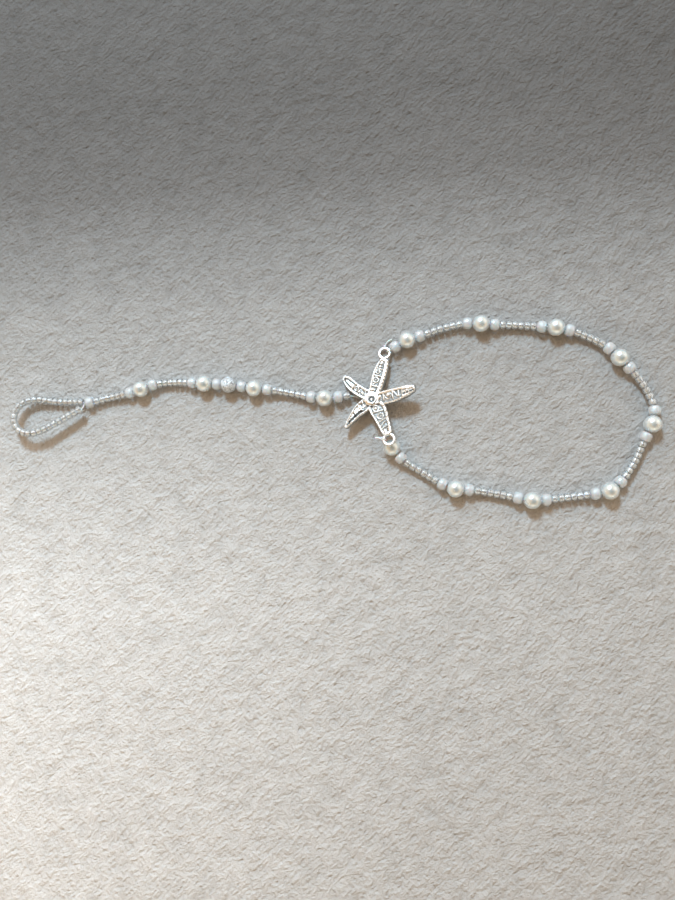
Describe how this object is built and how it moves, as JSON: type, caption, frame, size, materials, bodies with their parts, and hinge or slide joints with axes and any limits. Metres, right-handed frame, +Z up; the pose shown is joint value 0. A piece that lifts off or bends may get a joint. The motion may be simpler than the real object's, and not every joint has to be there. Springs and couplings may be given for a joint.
{
  "type": "beaded stretch anklet with toe loop",
  "caption": "Beaded stretch anklet: an elastic ankle loop closed by a cast starfish, with a beaded strand over the foot to a small toe loop.",
  "frame": {"origin": "middle of the footprint of the anklet as it lies, on the surface that it rests on", "axes": "+Z up from the surface, +X from the toe loop along the strand to the far side of the ankle loop, +Y across, towards the upper eyelet of the starfish"},
  "size_m": [0.2294, 0.0661, 0.0077],
  "materials": {
    "pearl_glass": "ivory pearl coating on glass, soft sheen",
    "opal_glass": "milky opal glass with a faint lavender tint, glossy",
    "crystal_seed": "silver-lined clear glass, champagne tone, glossy",
    "stardust_silver": "fine sparkling stardust texture on silver-coloured metal",
    "antique_silver": "cast silver-coloured metal, bright rims and darkened hollows",
    "clear_elastic": "clear stretch cord"
  },
  "bodies": {
    "root": {"starfish": "antique_silver", "ankle_thread": "clear_elastic", "toe_thread": "clear_elastic", "silver_bead": "stardust_silver", "pearl_1": "pearl_glass", "pearl_2": "pearl_glass", "pearl_3": "pearl_glass", "pearl_4": "pearl_glass", "pearl_5": "pearl_glass", "pearl_6": "pearl_glass", "pearl_7": "pearl_glass", "pearl_8": "pearl_glass", "pearl_9": "pearl_glass", "pearl_10": "pearl_glass", "pearl_11": "pearl_glass", "pearl_12": "pearl_glass", "pearl_13": "pearl_glass", "opal_1": "opal_glass", "opal_2": "opal_glass", "opal_3": "opal_glass", "opal_4": "opal_glass", "opal_5": "opal_glass", "opal_6": "opal_glass", "opal_7": "opal_glass", "opal_8": "opal_glass", "opal_9": "opal_glass", "opal_10": "opal_glass", "opal_11": "opal_glass", "opal_12": "opal_glass", "opal_13": "opal_glass", "opal_14": "opal_glass", "opal_15": "opal_glass", "opal_16": "opal_glass", "opal_17": "opal_glass", "opal_18": "opal_glass", "opal_19": "opal_glass", "opal_20": "opal_glass", "opal_21": "opal_glass", "opal_22": "opal_glass", "opal_23": "opal_glass", "opal_24": "opal_glass", "opal_25": "opal_glass", "opal_26": "opal_glass", "ankle_seeds_1": "crystal_seed", "ankle_seeds_2": "crystal_seed", "ankle_seeds_3": "crystal_seed", "ankle_seeds_4": "crystal_seed", "ankle_seeds_5": "crystal_seed", "ankle_seeds_6": "crystal_seed", "ankle_seeds_7": "crystal_seed", "ankle_seeds_8": "crystal_seed", "strand_seeds_1": "crystal_seed", "strand_seeds_2": "crystal_seed", "strand_seeds_3": "crystal_seed", "strand_seeds_4": "crystal_seed", "toe_seeds_1": "crystal_seed", "toe_seeds_2": "crystal_seed", "toe_seeds_3": "crystal_seed"}
  },
  "joints": []
}
